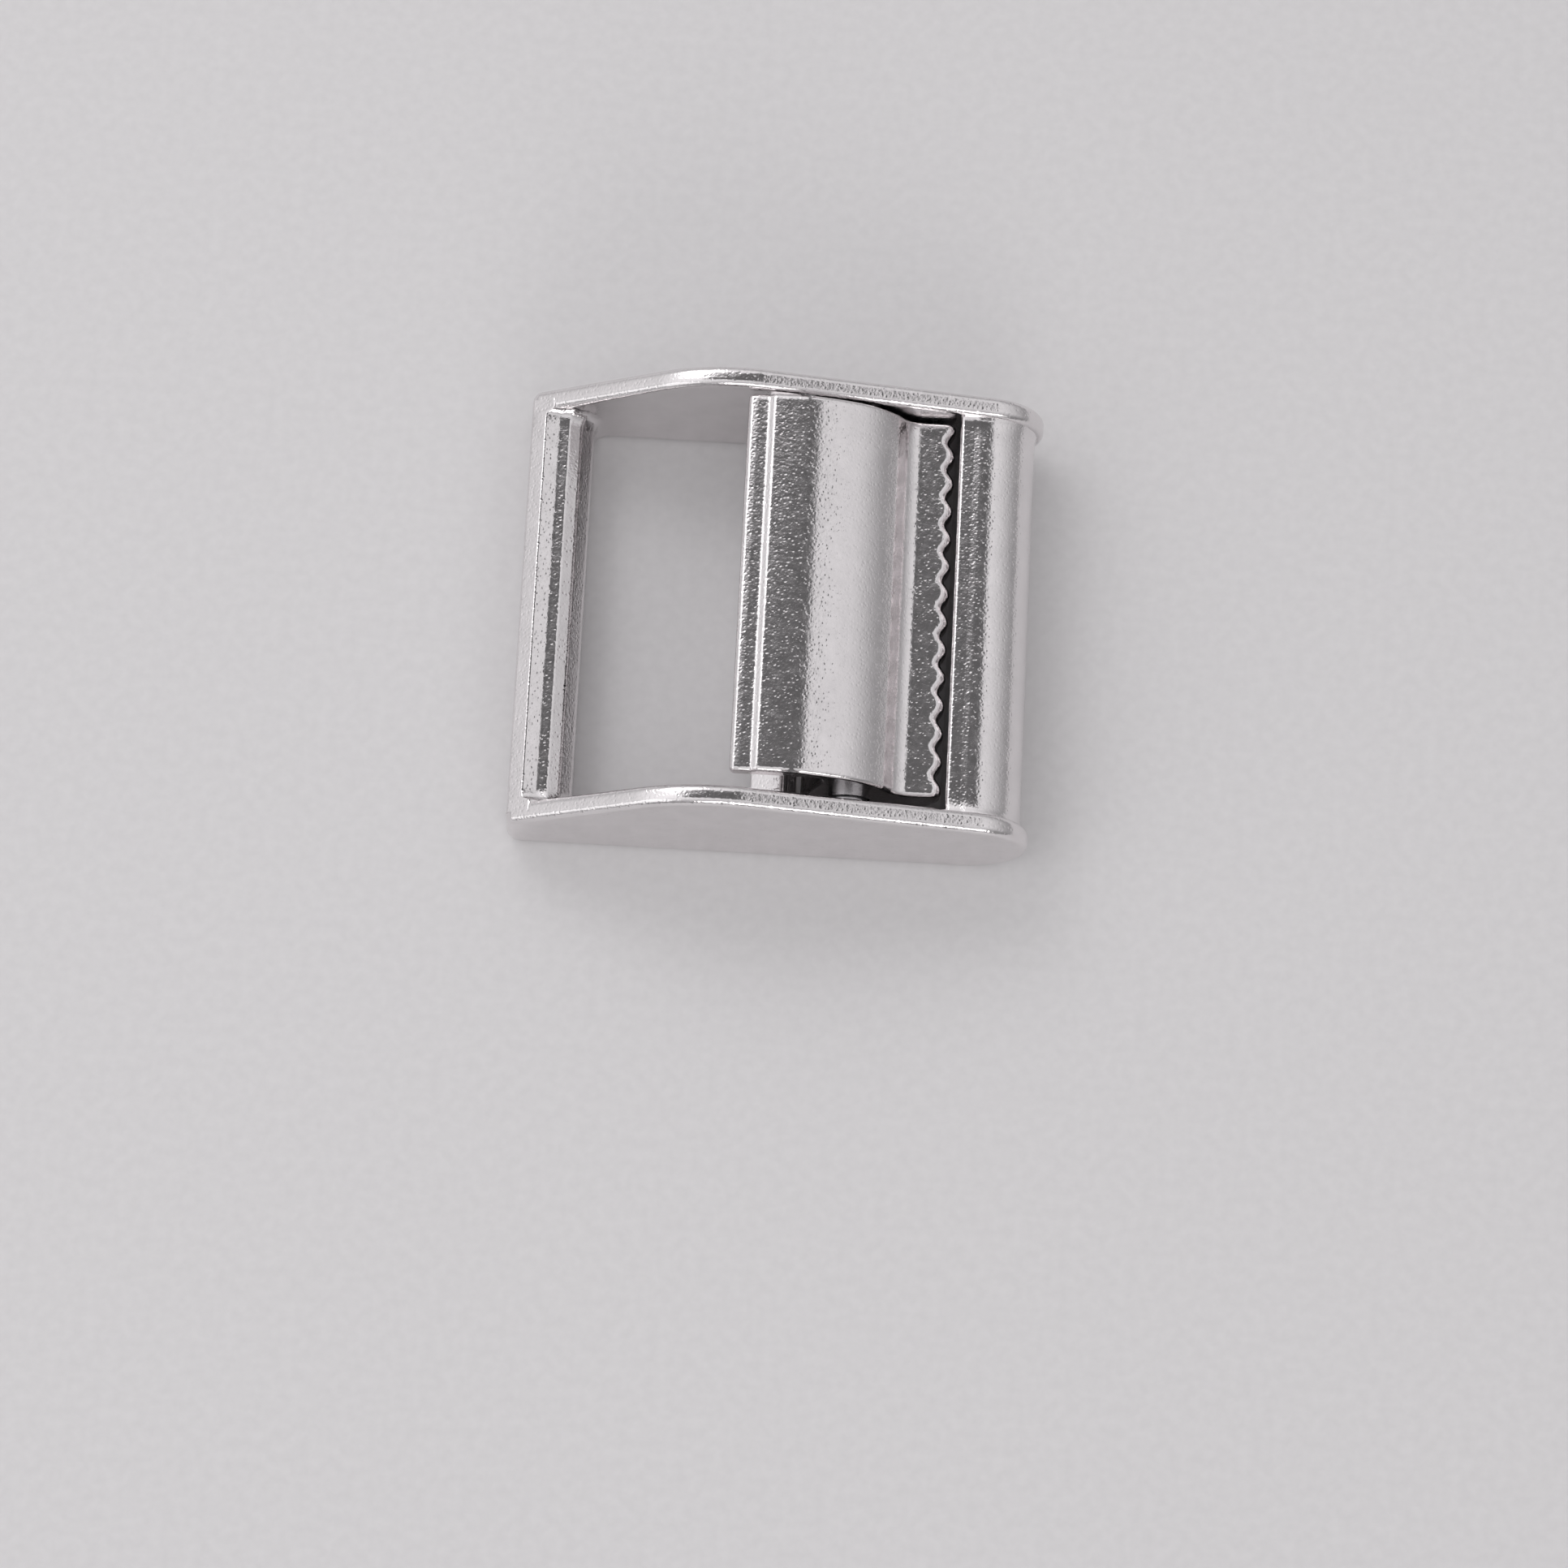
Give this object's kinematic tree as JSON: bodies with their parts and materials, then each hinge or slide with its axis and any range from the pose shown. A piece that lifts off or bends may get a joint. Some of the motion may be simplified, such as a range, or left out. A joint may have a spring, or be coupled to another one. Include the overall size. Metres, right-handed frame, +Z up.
{
  "type": "cam buckle",
  "caption": "Cast-metal cam buckle for wide webbing: an open frame with an anchor bar and a clamp bar, and a spring-loaded toothed lever on a cross pin.",
  "frame": {"origin": "centre of the underside: the middle of the bounding box's bottom face", "axes": "+X along the webbing from the anchor bar to the clamp bar, +Y across the webbing, +Z up through the lever's thumb face"},
  "size_m": [0.0506, 0.0446, 0.0167],
  "materials": {
    "cast_steel": "bright polished casting with a fine orange-peel texture",
    "lever_steel": "bright polished casting with a fine orange-peel texture",
    "pin_steel": "plain ground pin",
    "spring_wire": "drawn spring wire"
  },
  "bodies": {
    "frame": {"frame": "cast_steel", "pivot_pin": "pin_steel", "return_spring": "spring_wire"},
    "lever": {"cam_lever": "lever_steel"}
  },
  "joints": [
    {"name": "lever_pivot", "type": "hinge", "parent": "frame", "child": "lever", "pos_m": [0.0076, 0, 0.0075], "axis": [0, -1, 0], "range_deg": [0, 30], "stiffness_Nm_per_rad": 0.08, "springref_deg": -45.84, "deforming": ["return_spring"]}
  ]
}
